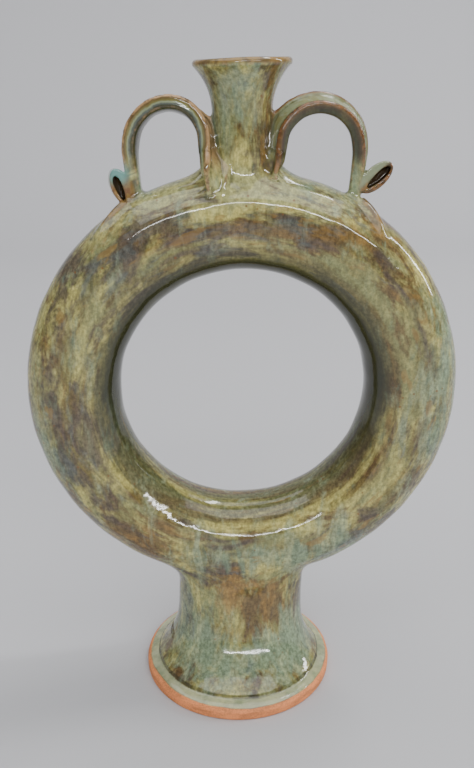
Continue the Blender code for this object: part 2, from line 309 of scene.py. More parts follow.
def hollowForm(points):
    x, y, z = points.T
    blend = softStep(1 - z / foot["mouthRise"])
    wide = hollowHalf(z, foot["waistWidth"] / 2)
    deep = hollowHalf(z, foot["waistDepth"] / 2)
    wide = wide + (mouthHalf - wide) * blend
    deep = deep + (mouthHalf - deep) * blend
    n = np.hypot((x - footCentre(z)) / wide, y / deep)
    return (n - 1) * np.minimum(wide, deep)


def hollowSolid(points):
    return -melt(-evened(hollowForm, points), hollowRoof - points[:, 2], foot["roofRound"])


# Neck

def neckRadius(height):
    flare = neck["height"] - neck["lipHeight"] - neck["waist"]
    over = np.clip((height - neck["waist"]) / flare, 0.0, 1.0)
    return neck["width"] / 2 + (neck["rim"] - neck["width"]) / 2 * over ** neck["flarePower"]


def neckPlace(points):
    # distance from the neck's axis and height above the ring, the level circles tilting towards the rim
    x = points[:, 0] - neck["shift"]
    height = points[:, 2] - ringTop
    height = height - x * np.tan(radians(neck["lean"]) * softStep(height / neck["height"]))
    return np.hypot(x, points[:, 1]), height


def neckForm(points):
    out, height = neckPlace(points)
    lip = neck["lipRoll"] * np.exp(-((height - neck["height"] + neck["lipDrop"]) / neck["lipReach"]) ** 2)
    return out - neckRadius(height) - lip


def neckSolid(points):
    height = neckPlace(points)[1]
    body = evened(neckForm, points)
    body = -melt(-body, -(height - neck["height"]), neck["lipRound"])
    return np.maximum(body, -neck["root"] - height)


def boreForm(points):
    out, height = neckPlace(points)
    return out - (neckRadius(height) - neck["wall"])


def boreSolid(points):
    height = neckPlace(points)[1]
    return np.maximum(evened(boreForm, points), -neck["boreRoot"] - height)


def neckSpread(points):
    x = points[:, 0] - neck["shift"]
    side = np.abs(x / np.maximum(np.hypot(x, points[:, 1]), 1e-6)) ** neck["meltPower"]
    return neck["meltFront"] + (neck["meltSide"] - neck["meltFront"]) * side


# Routes that straps and ridges follow, and the curls: places, directions and the two ways across.

def smoothCurve(points, count):
    spans = len(points) - 1
    line = []
    for k in range(count):
        place = min(k / (count - 1) * spans, spans - 1e-6)
        i = int(place)
        f = place - i
        p0, p1, p2, p3 = points[max(i - 1, 0)], points[i], points[i + 1], points[min(i + 2, spans)]
        line.append(0.5 * (2 * p1 + (p2 - p0) * f + (2 * p0 - 5 * p1 + 4 * p2 - p3) * f ** 2
                           + (3 * p1 - p0 - 3 * p2 + p3) * f ** 3))
    return line


def strapRoute(hand):
    near, farOut, draw = hand["near"], hand["far"], hand["draw"]
    middle, half = (near + farOut) / 2, (farOut - near) / 2
    spring = ringTop + hand["rise"] - strap["archDepth"]
    points = [Vector((x, y, ringTop + above)) for x, y, above in hand["toes"]]
    for angle in range(0, 181, 30):
        turn = radians(angle)
        points.append(Vector((middle - half * cos(turn), -draw * strap["archTurn"] * (1 + cos(turn)),
                              spring + strap["archDepth"] * sin(turn))))
    root = farOut - strap["farToe"]
    ground = ringZ + ringOutside(root)
    points.append(Vector((farOut - strap["farToe"] * strap["farEase"], 0.0, (spring + ground) / 2)))
    points.append(Vector((root, 0.0, ground - strap["farRoot"])))
    return [Vector((hand["side"] * p.x, p.y, p.z)) for p in points]


def strapPath(hand, count=170):
    line = smoothCurve(strapRoute(hand), count)
    places, alongs, acrosses, outs = [], [], [], []
    for i, here in enumerate(line):
        along = (line[min(i + 1, count - 1)] - line[max(i - 1, 0)]).normalized()
        back = Vector((0, 1, 0))
        across = (back - along * back.dot(along)).normalized()
        outward = along.cross(across) * hand["side"]
        t = i / (count - 1)
        span = min(int(t * 4), 3)
        twist = hand["twist"]
        turn = radians(twist[span] + (twist[span + 1] - twist[span]) * float(softStep(t * 4 - span)))
        places.append(here)
        alongs.append(along)
        acrosses.append(across * cos(turn) + outward * sin(turn))
        outs.append(outward * cos(turn) - across * sin(turn))
    share = np.linspace(0, 1, count)
    flat = 1 - strap["nearThin"] * (1 - softStep(share / strap["nearThinTo"]))
    flat -= strap["farThin"] * softStep((share - strap["farThinFrom"]) / strap["farFade"])
    narrow = hand["narrow"] + (1 - hand["narrow"]) * softStep(share / strap["nearNarrowTo"])
    narrow *= 1 - strap["farNarrow"] * softStep((share - strap["farNarrowFrom"]) / strap["farFade"])
    return pathOf(places, alongs, acrosses, outs, narrow, flat)


def curlCentre(key):
    hand, loop = strap[key], curl[key]
    aside = loop["gap"] / 2 if key == "left" else loop["length"] / 2 * cos(radians(loop["tilt"]))
    beside = hand["far"] + strap["thickness"] / 2 + aside + curl["standoff"]
    return Vector((hand["side"] * beside, 0, ringZ + ringOutside(beside) + loop["rise"]))


def curlPlaces(key, points):
    # place in a curl's own frame: along its length, across it, and back from its middle
    loop = curl[key]
    turn = radians(loop["tilt"])
    away = points - np.array(curlCentre(key))
    along = away[:, 0] * cos(turn) + away[:, 2] * sin(turn)
    across = away[:, 2] * cos(turn) - away[:, 0] * sin(turn) - away[:, 1] * loop["skew"]
    return along, across, away[:, 1]


def curlWhole(key):
    # half sizes of the rolled clay, and how far its middle lies towards the strap
    loop = curl[key]
    wall = curl["thickness"] + curl["swell"] / 2
    lean = radians(loop["leaning"])
    shift = (cos(lean) * curl["swell"] / 2, sin(lean) * curl["swell"] / 2)
    return loop["length"] / 2 + wall, loop["gap"] / 2 + wall, shift


def curlSolid(key, points):
    along, across, back = curlPlaces(key, points)
    halfAlong, halfAcross, shift = curlWhole(key)
    corner = curl["corner"]
    side = ovalDistance(along - shift[0], across - shift[1], halfAlong, halfAcross, 2.0) + corner
    front = np.abs(back) - curl["width"] / 2 + corner
    beyond = np.hypot(np.maximum(side, 0), np.maximum(front, 0))
    return beyond + np.minimum(np.maximum(side, front), 0) - corner


def curlHollow(key, points):
    # egg-shaped opening, closed behind
    along, across, back = curlPlaces(key, points)
    loop = curl[key]
    half = loop["length"] / 2
    halfAcross = loop["gap"] / 2 * (1 - curl["egg"] + curl["egg"] * np.clip(along / half, -1, 1))
    side = ovalDistance(along, across, half, halfAcross, 2.0)
    return -melt(-side, curl["width"] / 2 - curl["closing"] - back, curl["floorRound"])


def curlRough(key, hollow, count=5):
    loop = curl[key]
    turn = radians(loop["tilt"])
    along, across = Vector((cos(turn), 0, sin(turn))), Vector((-sin(turn), 0, cos(turn)))
    halfAlong, halfAcross, shift = curlWhole(key)
    front, back = -curl["width"] / 2, curl["width"] / 2
    if hollow:
        halfAlong, halfAcross, shift = loop["length"] / 2, loop["gap"] / 2 * curl["roughGap"], (0.0, 0.0)
        front, back = front - curl["roughThrough"], back - curl["closing"]
    middle = curlCentre(key) + along * shift[0] + across * shift[1]
    depths = np.linspace(back, front, count)
    places = [middle + Vector((0, y, 0)) + across * (loop["skew"] * y) for y in depths]
    return pathOf(places, [Vector((0, -1, 0))] * count, [along] * count, [across] * count,
                  np.full(count, halfAlong), np.full(count, halfAcross))


def tailPath(key, count=220):
    hand = tail[key]
    places = []
    for k in range(count):
        t = k / (count - 1)
        turn = hand["turns"][0] + (hand["turns"][1] - hand["turns"][0]) * t
        lean = hand["leans"][0] + (hand["leans"][1] - hand["leans"][0]) * t ** tail["leanPower"]
        places.append(onRing(turn, lean))
    alongs = [(places[min(i + 1, count - 1)] - places[max(i - 1, 0)]).normalized() for i in range(count)]
    acrosses = [Vector((0, 1, 0)).cross(a).normalized() for a in alongs]
    outs = [a.cross(b) for a, b in zip(alongs, acrosses)]
    middle = Vector((0, 0, ringZ))
    outs = [out if out.dot(p - middle) > 0 else -out for p, out in zip(places, outs)]
    sinks = tail["sink"] * tail["radius"] * softStep(np.linspace(-tail["sinkLead"], 1, count))
    places = [p + out * (tail["standoff"] - float(sink)) for p, out, sink in zip(places, outs, sinks)]
    taper = 1 - tail["taper"] * softStep(np.linspace(0, 1, count))
    return pathOf(places, alongs, acrosses, outs, taper, taper)


def pathOf(places, alongs, acrosses, outs, wide, thick):
    arrays = [np.array([list(v) for v in part]) for part in (places, alongs, acrosses, outs)]
    return dict(zip(("place", "along", "across", "out"), arrays), wide=wide, thick=thick, closed=False)


def nearPath(path, points, reach=0.016):
    # the points that are close to the path, and the nearest step of the path for each
    low, high = path["place"].min(0) - reach, path["place"].max(0) + reach
    close = np.flatnonzero(np.all((points > low) & (points < high), axis=1))
    nearest = np.zeros(len(close), int)
    best = np.full(len(close), 9.0)
    for i, place in enumerate(path["place"]):
        gap = ((points[close] - place) ** 2).sum(1)
        nearer = gap < best
        best[nearer] = gap[nearer]
        nearest[nearer] = i
    return close, nearest


def pathPlace(path, nearest, points):
    # place beside the path: across it, outwards, past its ends, and the section's own sizes there
    count = len(path["place"])
    away = points - path["place"][nearest]
    onward = (away * path["along"][nearest]).sum(1)
    other = np.where(onward > 0, np.minimum(nearest + 1, count - 1), np.maximum(nearest - 1, 0))
    gap = np.linalg.norm(path["place"][other] - path["place"][nearest], axis=1)
    part = np.clip(np.abs(onward) / np.maximum(gap, 1e-6), 0.0, 1.0) * (gap > 0)

    def between(key):
        start, end = path[key][nearest], path[key][other]
        share = part if start.ndim == 1 else part[:, None]
        return start + (end - start) * share
    away = points - between("place")
    u = (away * between("across")).sum(1)
    v = (away * between("out")).sum(1)
    atEnd = ((nearest == count - 1) & (onward > 0)) | ((nearest == 0) & (onward < 0))
    past = np.where(atEnd, np.abs(onward), 0.0)
    return u, v, past, between("wide"), between("thick")


def withEnds(body, past):
    return np.hypot(np.maximum(body, 0.0), past) + np.minimum(body, 0.0)


def strapSection(u, v, past, wide, thick):
    halfU = strap["width"] / 2 * wide
    halfV = strap["thickness"] / 2 * thick
    bead = strap["bead"] * np.minimum(thick, 1.0) ** 0.5
    sunk = strap["groove"] / 2
    core = ovalDistance(u, v + sunk, halfU - strap["coreInset"], halfV - sunk, strap["squareness"])
    rows = np.hypot(np.abs(u) - (halfU - bead), v - (halfV - bead)) - bead
    return withEnds(melt(core, rows, strap["beadMelt"]), past)


def tailSection(u, v, past, wide, thick):
    return withEnds(np.hypot(u, v) - tail["radius"] * wide, past)


paths, pathNames = [], []
for key in ("left", "right"):
    paths.append((strapPath(strap[key]), strapSection, strap["melt"]))
    paths.append((tailPath(key), tailSection, tail["melt"]))
    pathNames += [key + "Strap", key + "Tail"]


def unevenness(points):
    # slow swells left by the hand
    x, y, z = (points * 2 * pi).T
    swell = (np.sin(x / 0.083 + 1.3) * np.sin(z / 0.071 + 0.4) + 0.7 * np.sin((x + z) / 0.047 + y / 0.06)
             + 0.6 * np.sin((x - z) / 0.039 + y / 0.05 + 2.1) + 0.35 * np.sin(z / 0.023 + x / 0.055))
    return skin["unevenness"] * swell / 2


def nearCurl(key, points):
    return np.all(np.abs(points - np.array(curlCentre(key))) < curl["reach"], axis=1)


def jugForm(points, close):
    # close holds, for each path, the points near it and their nearest steps
    x, z = points[:, 0], points[:, 2]
    side = softStep((x + skin["sideFade"]) / (2 * skin["sideFade"]))
    footSpread = foot["meltLeft"] + (foot["meltRight"] - foot["meltLeft"]) * side
    body = melt(ringForm(points), footSolid(points), footSpread)
    upper = z > ringTop - skin["neckZone"]
    if upper.any():
        body[upper] = melt(body[upper], neckSolid(points[upper]), neckSpread(points[upper]))
    body -= unevenness(points) * softStep((z - skin["evenBelow"]) / skin["evenFade"])
    for (path, section, spread), (near, nearest) in zip(paths, close):
        if len(near):
            rod = section(*pathPlace(path, nearest, points[near]))
            body[near] = melt(body[near], rod, spread)
    for key in ("left", "right"):
        near = nearCurl(key, points)
        if near.any():
            body[near] = melt(body[near], curlSolid(key, points[near]), curl["melt"])
            body[near] = carve(body[near], curlHollow(key, points[near]), curl["rimRound"])
    if upper.any():
        body[upper] = carve(body[upper], boreSolid(points[upper]), skin["edgeRound"])
    lower = z < skin["footZone"]
    if lower.any():
        body[lower] = carve(body[lower], hollowSolid(points[lower]), skin["edgeRound"])
        body[lower] = carve(body[lower], z[lower], skin["standRound"])
    return body


# Short ways to add and join nodes.

class Wiring:
    def __init__(self, tree):
        self.nodes, self.links = tree.nodes, tree.links

    def put(self, socket, value):
        if hasattr(value, "is_output"):
            self.links.new(value, socket)
        elif isinstance(value, tuple) and socket.type == "RGBA":
            socket.default_value = (*value, 1.0)
        else:
            socket.default_value = value

    def node(self, kind, output, inputs, **settings):
        made = self.nodes.new(kind)
        for key, value in settings.items():
            setattr(made, key, value)
        for key, value in inputs.items():
            self.put(made.inputs[key], value)
        return made.outputs[output]

    def attribute(self, name, output="Fac"):
        return self.node("ShaderNodeAttribute", output, {}, attribute_name=name)

    def noise(self, places, scale, detail=3.0, roughness=0.55, distortion=0.0):
        return self.node("ShaderNodeTexNoise", "Fac", {
            "Vector": places, "Scale": scale, "Detail": detail, "Roughness": roughness,
            "Distortion": distortion})

    def swing(self, reach, *places):
        # noise that swings about 0
        return self.times(self.maths("SUBTRACT", self.noise(*places), 0.5), reach)

    def cells(self, places, scale):
        return self.node("ShaderNodeTexVoronoi", "Distance", {"Vector": places, "Scale": scale})

    def maths(self, operation, a, b=0.0):
        return self.node("ShaderNodeMath", 0, {0: a, 1: b}, operation=operation)

    def times(self, a, b):
        return self.maths("MULTIPLY", a, b)

    def plus(self, a, b):
        return self.maths("ADD", a, b)

    def ramp(self, value, low, high, start=0.0, end=1.0):
        # runs smoothly from start to end as the value goes from low to high
        if low > high:
            low, high, start, end = high, low, end, start
        return self.node("ShaderNodeMapRange", "Result", {
            "Value": value, "From Min": low, "From Max": high, "To Min": start, "To Max": end},
            interpolation_type="SMOOTHSTEP")

    def stops(self, value, colours):
        node = self.nodes.new("ShaderNodeValToRGB")
        self.put(node.inputs["Fac"], value)
        bar = node.color_ramp
        bar.interpolation = "EASE"
        for k, (place, colour) in enumerate(colours):
            stop = bar.elements[k] if k < 2 else bar.elements.new(place)
            stop.position = place
            stop.color = (*glaze[colour], 1.0)
        return node.outputs["Color"]

    def blend(self, share, a, b, kind="MIX"):
        return self.node("ShaderNodeMix", 2, {"Factor": share, 6: a, 7: b}, data_type="RGBA", blend_type=kind)

    def mottle(self, noise, low, high, first, second):
        # two glazes in small clouds
        return self.blend(self.ramp(noise, low, high), glaze[first], glaze[second])

    def over(self, colour, name, strength, tone):
        # a tone laid on where the named attribute is strong
        return self.blend(self.times(self.attribute(name), strength), colour, tone)

    def moved(self, places, offset, scale=(1, 1, 1)):
        return self.node("ShaderNodeMapping", "Vector", {
            "Vector": places, "Location": offset, "Scale": scale})

    def grey(self, value):
        return self.node("ShaderNodeCombineColor", "Color", {"Red": value, "Green": value, "Blue": value})


# Rough forms: one Geometry Nodes tree sweeps a rounded section along a path, whose points carry
# their own place, ways across and half sizes.

def sweepTree():
    tree = bpy.data.node_groups.new("sweepForm", "GeometryNodeTree")
    face = tree.interface
    face.new_socket("Geometry", in_out="INPUT", socket_type="NodeSocketGeometry")
    sides = face.new_socket("Sides", in_out="INPUT", socket_type="NodeSocketInt")
    sides.default_value = 24
    squareness = face.new_socket("Squareness", in_out="INPUT", socket_type="NodeSocketFloat")
    squareness.default_value = 2.0
    face.new_socket("Clay", in_out="INPUT", socket_type="NodeSocketMaterial")
    face.new_socket("Geometry", in_out="OUTPUT", socket_type="NodeSocketGeometry")
    w = Wiring(tree)
    given, end = tree.nodes.new("NodeGroupInput").outputs, tree.nodes.new("NodeGroupOutput")

    def carried(name, kind="FLOAT_VECTOR"):
        return w.node("GeometryNodeInputNamedAttribute", "Attribute", {"Name": name}, data_type=kind)

    curve = w.node("GeometryNodeMeshToCurve", "Curve", {"Mesh": given["Geometry"]})
    circle = w.node("GeometryNodeCurvePrimitiveCircle", "Curve", {
        "Resolution": given["Sides"], "Radius": 1.0})
    circle = w.node("GeometryNodeStoreNamedAttribute", "Geometry", {
        "Geometry": circle, "Name": "section", "Value": w.node("GeometryNodeInputPosition", "Position", {})},
        data_type="FLOAT_VECTOR", domain="POINT")
    thread = w.node("GeometryNodeCurveToMesh", "Mesh", {
        "Curve": curve, "Profile Curve": circle, "Fill Caps": True, "Scale": 0.001})

    # the section's circle becomes a squarish oval of the half sizes that the path carries
    split = tree.nodes.new("ShaderNodeSeparateXYZ")
    w.put(split.inputs[0], carried("section"))
    power = w.maths("DIVIDE", 2.0, given["Squareness"])
    place = carried("place")
    for socket, way, half in ((split.outputs["X"], "across", "wide"), (split.outputs["Y"], "out", "thick")):
        swelled = w.times(w.maths("SIGN", socket), w.maths("POWER", w.maths("ABSOLUTE", socket), power))
        reach = w.times(swelled, carried(half, "FLOAT"))
        step = w.node("ShaderNodeVectorMath", "Vector", {0: carried(way), "Scale": reach}, operation="SCALE")
        place = w.node("ShaderNodeVectorMath", "Vector", {0: place, 1: step}, operation="ADD")
    shape = w.node("GeometryNodeSetPosition", "Geometry", {"Geometry": thread, "Position": place})
    shape = w.node("GeometryNodeRealizeInstances", "Geometry", {"Geometry": shape})
    shape = w.node("GeometryNodeSetMaterial", "Geometry", {"Geometry": shape, "Material": given["Clay"]})
    w.put(end.inputs["Geometry"], shape)
    return tree


def rawSweep(name, tree, path, sides, squareness, clay):
    count = len(path["place"])
    edges = [(i, i + 1) for i in range(count - 1)] + ([(count - 1, 0)] if path["closed"] else [])
    line = bpy.data.meshes.new(name + "Path")
    line.from_pydata([list(p) for p in path["place"]], edges, [])
    for key in ("place", "across", "out"):
        line.attributes.new(key, "FLOAT_VECTOR", "POINT").data.foreach_set("vector", path[key].ravel())
    for key in ("wide", "thick"):
        line.attributes.new(key, "FLOAT", "POINT").data.foreach_set("value", np.array(path[key], float))
    guide = bpy.data.objects.new(name + "Guide", line)
    bpy.context.scene.collection.objects.link(guide)
    modifier = guide.modifiers.new("Sweep", "NODES")
    modifier.node_group = tree
    values = {"Sides": sides, "Squareness": squareness, "Clay": clay}
    for item in tree.interface.items_tree:
        if item.in_out == "INPUT" and item.name in values:
            modifier[item.identifier] = values[item.name]
    mesh = plainMesh(guide, name)
    bpy.data.objects.remove(guide)
    return pointOutwards(mesh)


def plainMesh(source, name):
    bpy.context.view_layer.update()
    shape = source.evaluated_get(bpy.context.evaluated_depsgraph_get())
    mesh = bpy.data.meshes.new_from_object(shape)
    mesh.name = name
    made = bpy.data.objects.new(name, mesh)
    bpy.context.scene.collection.objects.link(made)
    return made


def pointOutwards(thing):
    form = bmesh.new()
    form.from_mesh(thing.data)
    bmesh.ops.remove_doubles(form, verts=form.verts, dist=1e-6)
    bmesh.ops.recalc_face_normals(form, faces=form.faces)
    form.to_mesh(thing.data)
    form.free()
    return thing


def uprightPath(levels, wide, deep, lean=None):
    # a path straight up, its level sections tilted where lean gives a slope
    places = np.array([[x, 0.0, z] for x, z in levels])
    count = len(places)
    across = np.zeros((count, 3))
    across[:, 0] = 1.0
    if lean is not None:
        across[:, 2] = lean
    out = np.tile([0.0, 1.0, 0.0], (count, 1))
    return {"place": places, "across": across, "out": out, "wide": wide, "thick": deep, "closed": False}


def ringPath(steps, inset):
    turns = np.arange(steps) * 2 * pi / steps
    out = np.stack([np.sin(turns), np.zeros(steps), np.cos(turns)], axis=1)
    across = np.tile([0.0, 1.0, 0.0], (steps, 1))
    return {"place": out * ringMid + [0, 0, ringZ], "across": across, "out": out,
            "wide": np.full(steps, ring["depth"] / 2 - inset),
            "thick": np.full(steps, ring["across"] / 2 - inset), "closed": True}


def footPath(hollow, bottom, top):
    # levels closer together at the rolled ledge
    heights = np.concatenate([np.linspace(bottom, 0.014, 9), np.linspace(0.018, top, 16)])
    if hollow:
        atMouth = heights < 0.003
        wide = np.where(atMouth, mouthHalf, hollowHalf(heights, foot["waistWidth"] / 2))
        deep = np.where(atMouth, mouthHalf, hollowHalf(heights, foot["waistDepth"] / 2))
    else:
        wide = footHalf(heights, foot["waistWidth"] / 2)
        deep = footHalf(heights, stemDepth(heights))
    return uprightPath([(footCentre(z), z) for z in heights], wide, deep)


def neckPath(inset, bottom, top):
    heights = np.linspace(bottom, top, 24)
    radius = neckRadius(heights) - inset
    slope = np.tan(radians(neck["lean"]) * softStep(heights / neck["height"]))
    return uprightPath([(neck["shift"], ringTop + h) for h in heights], radius, radius, slope)


def gussetPath():
    # the rough fillet between the neck's sides and the ring
    levels = ((-0.014, 0.048), (-0.007, 0.042), (0.0, 0.034), (0.006, 0.028), (0.011, 0.022))
    return uprightPath([(neck["shift"], ringTop + h) for h, wide in levels], [wide for h, wide in levels],
                       [neck["width"] * 0.4] * len(levels))


def scaledPath(path, wide, thick):
    return dict(path, wide=path["wide"] * wide, thick=path["thick"] * thick)


rough = {                      # sides and squareness of each rough body's section
    "jug": (40, ring["squareness"]),
    "foot": (64, 2.2),
    "neck": (48, 2.0),
    "gusset": (32, 2.0),
    "strap": (16, 3.0),
    "tail": (12, 2.0),
    "curl": (32, 2.0),
    "opening": (24, 2.0),
    "bore": (48, 2.0),
    "hollow": (64, 2.0),
    "cavity": (28, ring["squareness"]),
}
roughRoot = -0.018             # the rough neck starts here, under the ring's top
roughPast = 0.004              # the rough cuts go this far past the clay


def roughJug(clay):
    tree = sweepTree()

    def swept(kind, path, name=""):
        return rawSweep(name or kind + "Rough", tree, path, *rough[kind], clay)

    body = swept("jug", ringPath(120, 0.0))
    added = [
        swept("foot", footPath(False, 0.0, ringZ - ringMid)),
        swept("neck", neckPath(0.0, roughRoot, neck["height"])),
        swept("gusset", gussetPath()),
    ]
    for (path, section, spread), name in zip(paths, pathNames):
        if section is strapSection:
            added.append(swept("strap", scaledPath(path, strap["width"] / 2, strap["thickness"] / 2), name))
        else:
            added.append(swept("tail", scaledPath(path, tail["radius"], tail["radius"]), name))
    added += [swept("curl", curlRough(key, False), key + "Curl") for key in ("left", "right")]
    cut = [swept("opening", curlRough(key, True), key + "Opening") for key in ("left", "right")]
    cut.append(swept("bore", neckPath(neck["wall"], -neck["boreRoot"], neck["height"] + roughPast)))
    cut.append(swept("hollow", footPath(True, -roughPast, hollowRoof)))
    for other in added + cut:
        modifier = body.modifiers.new(other.name, "BOOLEAN")
        modifier.solver = "MANIFOLD"
        modifier.operation = "DIFFERENCE" if other in cut else "UNION"
        modifier.object = other
    joined = plainMesh(body, "jugJoined")
    cavity = swept("cavity", ringPath(96, ring["wall"]))
    for other in added + cut + [body]:
        bpy.data.objects.remove(other)
    return joined, cavity


# The mesh is remade in a stretched space, so that it is finer at the handles than on the ring.

stretchLevels = np.linspace(-0.05, 0.50, 1101)
stretchGrow = (1 + (skin["fineness"] - 1) * softStep((stretchLevels - skin["fineFrom"])
                                                     / (skin["fineTo"] - skin["fineFrom"]))
               + (skin["footFineness"] - 1) * softStep((skin["footTo"] - stretchLevels)
                                                       / (skin["footTo"] - skin["footFrom"])))
stretchHeights = np.concatenate([[0.0], np.cumsum((stretchGrow[1:] + stretchGrow[:-1]) / 2
                                                  * np.diff(stretchLevels))])


def stretched(points):
    grow = np.interp(points[:, 2], stretchLevels, stretchGrow)
    height = np.interp(points[:, 2], stretchLevels, stretchHeights)
    return np.stack([points[:, 0] * grow, points[:, 1] * grow, height], axis=1)


def unstretched(points):
    z = np.interp(points[:, 2], stretchHeights, stretchLevels)
    grow = np.interp(z, stretchLevels, stretchGrow)
    return np.stack([points[:, 0] / grow, points[:, 1] / grow, z], axis=1)


def pointsOf(mesh):
    points = np.empty(len(mesh.vertices) * 3)
    mesh.vertices.foreach_get("co", points)
    return points.reshape(-1, 3)


def setPoints(mesh, points):
    mesh.vertices.foreach_set("co", np.ascontiguousarray(points, np.float32).ravel())
    mesh.update()


def valueAndSlope(points, step=0.00006):
    close = [nearPath(path, points) for path, section, spread in paths]
    here = jugForm(points, close)
    slope = np.empty((len(points), 3))
    for axis in range(3):
        beside = points.copy()
        beside[:, axis] += step
        slope[:, axis] = (jugForm(beside, close) - here) / step
    return here, slope


def settle(mesh):
    # pulls every point onto the melted form
    points = pointsOf(mesh)
    for turn in range(skin["settleRounds"]):
        here, slope = valueAndSlope(points)
        push = -here / np.maximum((slope ** 2).sum(1), 0.25)    # the floor keeps flat spots from jumping
        move = slope * push[:, None]
        length = np.linalg.norm(move, axis=1)
        move *= np.minimum(1.0, skin["settleStep"] / np.maximum(length, 1e-9))[:, None]
        points = np.clip(points + move, list(jugLow), list(jugHigh))
    setPoints(mesh, points)
    print("settled: largest miss", round(float(np.abs(here).max()) * 1000, 3), "mm, typical",
          round(float(np.median(np.abs(here))) * 1e6, 1), "micrometres")


def keepLargest(mesh):
    # drops specks that the remesh leaves inside narrow hollows
    form = bmesh.new()
    form.from_mesh(mesh)
    seen, pieces = set(), []
    for point in form.verts:
        if point in seen:
            continue
        seen.add(point)
        piece = [point]
        for here in piece:
            for edge in here.link_edges:
                other = edge.other_vert(here)
                if other not in seen:
                    seen.add(other)
                    piece.append(other)
        pieces.append(piece)
    largest = max(pieces, key=len)
    for piece in pieces:
        if piece is not largest:
            bmesh.ops.delete(form, geom=piece, context="VERTS")
    form.to_mesh(mesh)
    form.free()


def meltedJug(clay):
    joined, cavity = roughJug(clay)
    print("rough jug:", len(joined.data.polygons), "faces")
    setPoints(joined.data, stretched(pointsOf(joined.data)))
    remesh = joined.modifiers.new("Remesh", "REMESH")
    remesh.mode = "VOXEL"
    remesh.voxel_size = skin["voxel"]
    fine = plainMesh(joined, "jugFine")
    bpy.data.objects.remove(joined)
    keepLargest(fine.data)
    setPoints(fine.data, unstretched(pointsOf(fine.data)))
    print("fine jug:", len(fine.data.polygons), "faces")
    settle(fine.data)
    hollow = fine.modifiers.new("Hollow", "BOOLEAN")
    hollow.solver = "MANIFOLD"
    hollow.operation = "DIFFERENCE"
    hollow.object = cavity
    jug = plainMesh(fine, "glazedJug")
    bpy.data.objects.remove(fine)
    bpy.data.objects.remove(cavity)
    return jug


# What the glaze does over the form, with painted shade and a painted highlight among it. These go onto the
# mesh as attributes that the material reads.

def edgesOf(mesh):
    pairs = np.empty(len(mesh.edges) * 2, np.int32)
    mesh.edges.foreach_get("vertices", pairs)
    return pairs.reshape(-1, 2)


def spreadOut(values, pairs, rounds):
    count = np.bincount(pairs.ravel(), minlength=len(values))
    for turn in range(rounds):
        total = np.bincount(pairs[:, 0], values[pairs[:, 1]], len(values))
        total += np.bincount(pairs[:, 1], values[pairs[:, 0]], len(values))
        values = 0.5 * values + 0.5 * total / np.maximum(count, 1)
    return values


def bending(points, normals, pairs):
    # how sharply the surface turns, per millimetre, above 0 where it bulges
    along = points[pairs[:, 1]] - points[pairs[:, 0]]
    turn = ((normals[pairs[:, 1]] - normals[pairs[:, 0]]) * along).sum(1)
    turn /= np.maximum((along ** 2).sum(1), 1e-12)
    total = np.bincount(pairs[:, 0], turn, len(points)) + np.bincount(pairs[:, 1], turn, len(points))
    return total / np.maximum(np.bincount(pairs.ravel(), minlength=len(points)), 1) / 1000


flow = {
    "tightRadius": 0.040,      # the ring's radius in the glaze's own space, so that streaks run round it
    "upright": 0.32,           # squeeze of the heights on the stem and the neck
    "stemFrom": 0.066,
    "stemTo": 0.108,
    "neckFrom": 0.366,
    "neckTo": 0.392,
}


def flowPlaces(points):
    # places in the glaze's own space: short along the way it was turned or ran
    x, y, z = points.T
    away = np.maximum(np.hypot(x, z - ringZ), 1e-6)
    tight = (away - ringMid + flow["tightRadius"]) / away
    edge = flow["tightRadius"] + ring["across"] / 2
    stem = softStep((flow["stemTo"] - z) / (flow["stemTo"] - flow["stemFrom"]))
    top = softStep((z - flow["neckFrom"]) / (flow["neckTo"] - flow["neckFrom"]))
    tight *= 1 - stem - top
    low = -edge + (z - ring["lift"]) * flow["upright"]
    high = edge + (z - ringTop) * flow["upright"]
    return np.stack([x * (tight + stem + top), y, (z - ringZ) * tight + low * stem + high * top], axis=1)


def patchMask(points, patches, backFrom=12, backShare=0.45):
    # broad soft patches, each at (x, z) in millimetres with its reach and strength, weaker behind
    x, y, z = points.T * 1000
    mask = np.zeros(len(points))
    for atX, atZ, wide, tall, strength in patches:
        share = np.exp(-(((x - atX) / wide) ** 2 + ((z - atZ) / tall) ** 2))
        mask += strength * share * np.where(y < backFrom, 1.0, backShare)
    return mask


def touching(distance):
    # 1 on a form's surface and 0 well off it
    return 1 - softStep((distance - 0.0002) / 0.0016)


def nearRods(points, names, reach=0.012):
    # how closely each point lies on the named straps or ridges, and its place in their section
    on = np.zeros(len(points))
    over = np.zeros(len(points))
    aside = np.zeros(len(points))
    for (path, section, spread), name in zip(paths, pathNames):
        if name not in names:
            continue
        near, nearest = nearPath(path, points, reach)
        u, v, past, wide, thick = pathPlace(path, nearest, points[near])
        share = touching(section(u, v, past, wide, thick))
        better = share > on[near]
        on[near] = np.where(better, share, on[near])
        over[near] = np.where(better, v / (strap["thickness"] / 2), over[near])
        aside[near] = np.where(better, np.abs(u) / (strap["width"] / 2), aside[near])
    return on, over, aside


